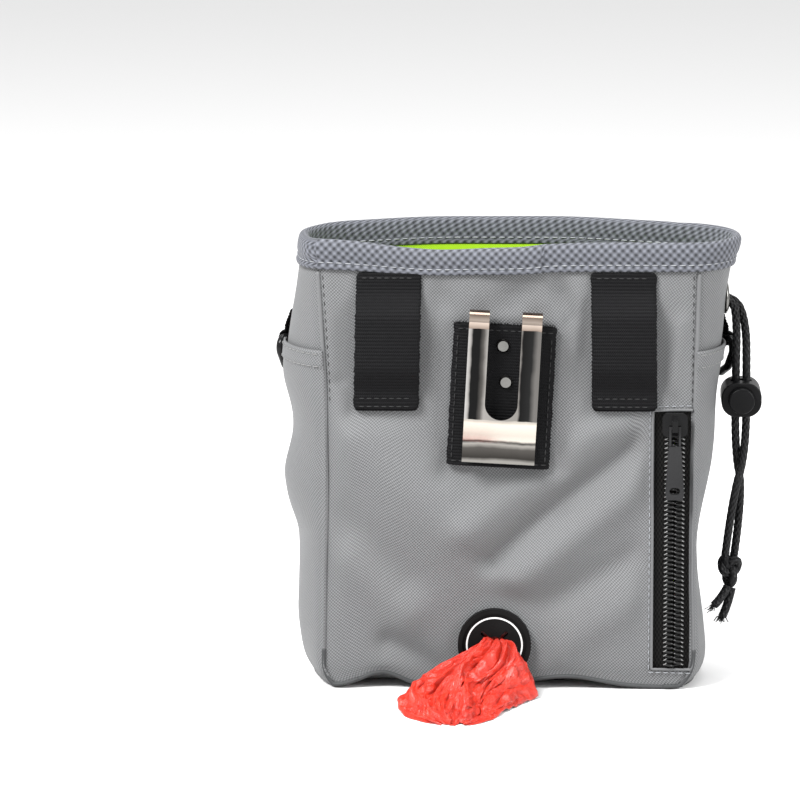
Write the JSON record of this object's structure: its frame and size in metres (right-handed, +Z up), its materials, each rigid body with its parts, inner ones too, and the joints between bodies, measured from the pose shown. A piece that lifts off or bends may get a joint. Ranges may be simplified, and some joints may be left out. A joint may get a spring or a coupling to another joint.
{
  "type": "treat pouch",
  "caption": "Open-topped fabric belt pouch with spring clip, belt loops, side D-rings, drawcord with lock, and a zipped back pocket that feeds waste bags through a rubber port",
  "frame": {"origin": "on the floor below the middle of the pouch, in the plane the base rests on", "axes": "X runs across the pouch, Y runs from the clip side (negative) to the front, Z is up"},
  "size_m": [0.1839, 0.1333, 0.1715],
  "materials": {
    "outer_cloth": "plain-weave coated cloth, mid grey",
    "lining_cloth": "smooth lime lining cloth",
    "binding_tape": "coarse woven tape, grey",
    "black_webbing": "ribbed webbing, black",
    "clip_steel": "polished nickel-plated spring steel",
    "eyelet_metal": "black, satin",
    "black_cord": "braided round cord, black",
    "lock_plastic": "moulded, matte black",
    "spring_steel": "bare wire",
    "zip_tape": "herringbone tape, black",
    "zip_coil": "nylon coil, black",
    "zip_metal": "glossy black enamel",
    "port_rubber": "moulded, matte black",
    "white_print": "white print",
    "bag_film": "thin glossy coral film, slightly clear",
    "core_card": "bare board",
    "ring_plastic": "moulded, glossy black"
  },
  "bodies": {
    "pouch": {"back_panel": "outer_cloth", "front_panel": "outer_cloth", "left_side_panel": "outer_cloth", "right_side_panel": "outer_cloth", "base_panel": "outer_cloth", "pocket_left_side": "outer_cloth", "pocket_front": "outer_cloth", "pocket_right_side": "outer_cloth", "lining_front": "lining_cloth", "lining_left": "lining_cloth", "lining_right": "lining_cloth", "lining_base": "lining_cloth", "divider_panel": "lining_cloth", "drawcord_casing": "lining_cloth", "rim_binding": "binding_tape", "left_belt_loop": "black_webbing", "right_belt_loop": "black_webbing", "clip_patch": "black_webbing", "left_ring_tab": "black_webbing", "right_ring_tab": "black_webbing", "clip_back_leaf": "clip_steel", "clip_rivets": "clip_steel", "cord_eyelet": "eyelet_metal", "drawcord_loop": "black_cord", "drawcord_strand_front": "black_cord", "drawcord_strand_rear": "black_cord", "cord_knot": "black_cord", "cord_ends": "black_cord", "zip_tape_left": "zip_tape", "zip_tape_right": "zip_tape", "zip_coil_left": "zip_coil", "zip_coil_right": "zip_coil", "port_grommet": "port_rubber", "port_ring": "white_print"},
    "clip_leaf": {"clip_front_leaf": "clip_steel"},
    "slider": {"zip_slider": "zip_metal"},
    "pull": {"zip_pull": "zip_metal"},
    "left_ring": {"left_d_ring": "ring_plastic"},
    "right_ring": {"right_d_ring": "ring_plastic"},
    "cord_lock": {"cord_lock_body": "lock_plastic", "cord_lock_spring": "spring_steel"},
    "lock_button": {"cord_lock_button": "lock_plastic"},
    "roll": {"bag_roll": "bag_film", "roll_core": "core_card"},
    "film": {"bag_tail": "bag_film"}
  },
  "joints": [
    {"name": "clip_flex", "type": "hinge", "parent": "pouch", "child": "clip_leaf", "pos_m": [-0.00035, -0.0327, 0.14207], "axis": [-0.9986, 0, 0.0523], "range_deg": [0, 8], "stiffness_Nm_per_rad": 4},
    {"name": "zip_slide", "type": "slide", "parent": "pouch", "child": "slider", "axis": [0, 0, -1], "range_m": [0, 0.085]},
    {"name": "zip_pull_swing", "type": "hinge", "parent": "slider", "child": "pull", "pos_m": [0.0633, -0.0352, 0.1016], "axis": [-1, 0, 0], "range_deg": [0, 160]},
    {"name": "left_ring_swing", "type": "hinge", "parent": "pouch", "child": "left_ring", "pos_m": [-0.08037, 0.00948, 0.1294], "axis": [0.4226, 0.9063, 0], "range_deg": [0, 75]},
    {"name": "right_ring_swing", "type": "hinge", "parent": "pouch", "child": "right_ring", "pos_m": [0.08037, 0.00948, 0.1294], "axis": [0.4226, -0.9063, 0], "range_deg": [0, 75]},
    {"name": "cord_lock_slide", "type": "slide", "parent": "pouch", "child": "cord_lock", "axis": [0, 0, -1], "range_m": [-0.003, 0.012]},
    {"name": "lock_button_press", "type": "slide", "parent": "cord_lock", "child": "lock_button", "axis": [0, 1, 0], "range_m": [0, 0.003], "stiffness_N_per_m": 400, "deforming": ["cord_lock_spring"]},
    {"name": "film_pull", "type": "slide", "parent": "pouch", "child": "film", "axis": [0, -1, 0], "range_m": [0, 0.02]},
    {"name": "roll_spin", "type": "hinge", "parent": "pouch", "child": "roll", "pos_m": [-0.004, -0.0125, 0.018], "axis": [1, 0, 0], "continuous": true}
  ],
  "couplings": [
    {"joint": "roll_spin", "follows": "film_pull", "rad_per_m": 71.429}
  ]
}
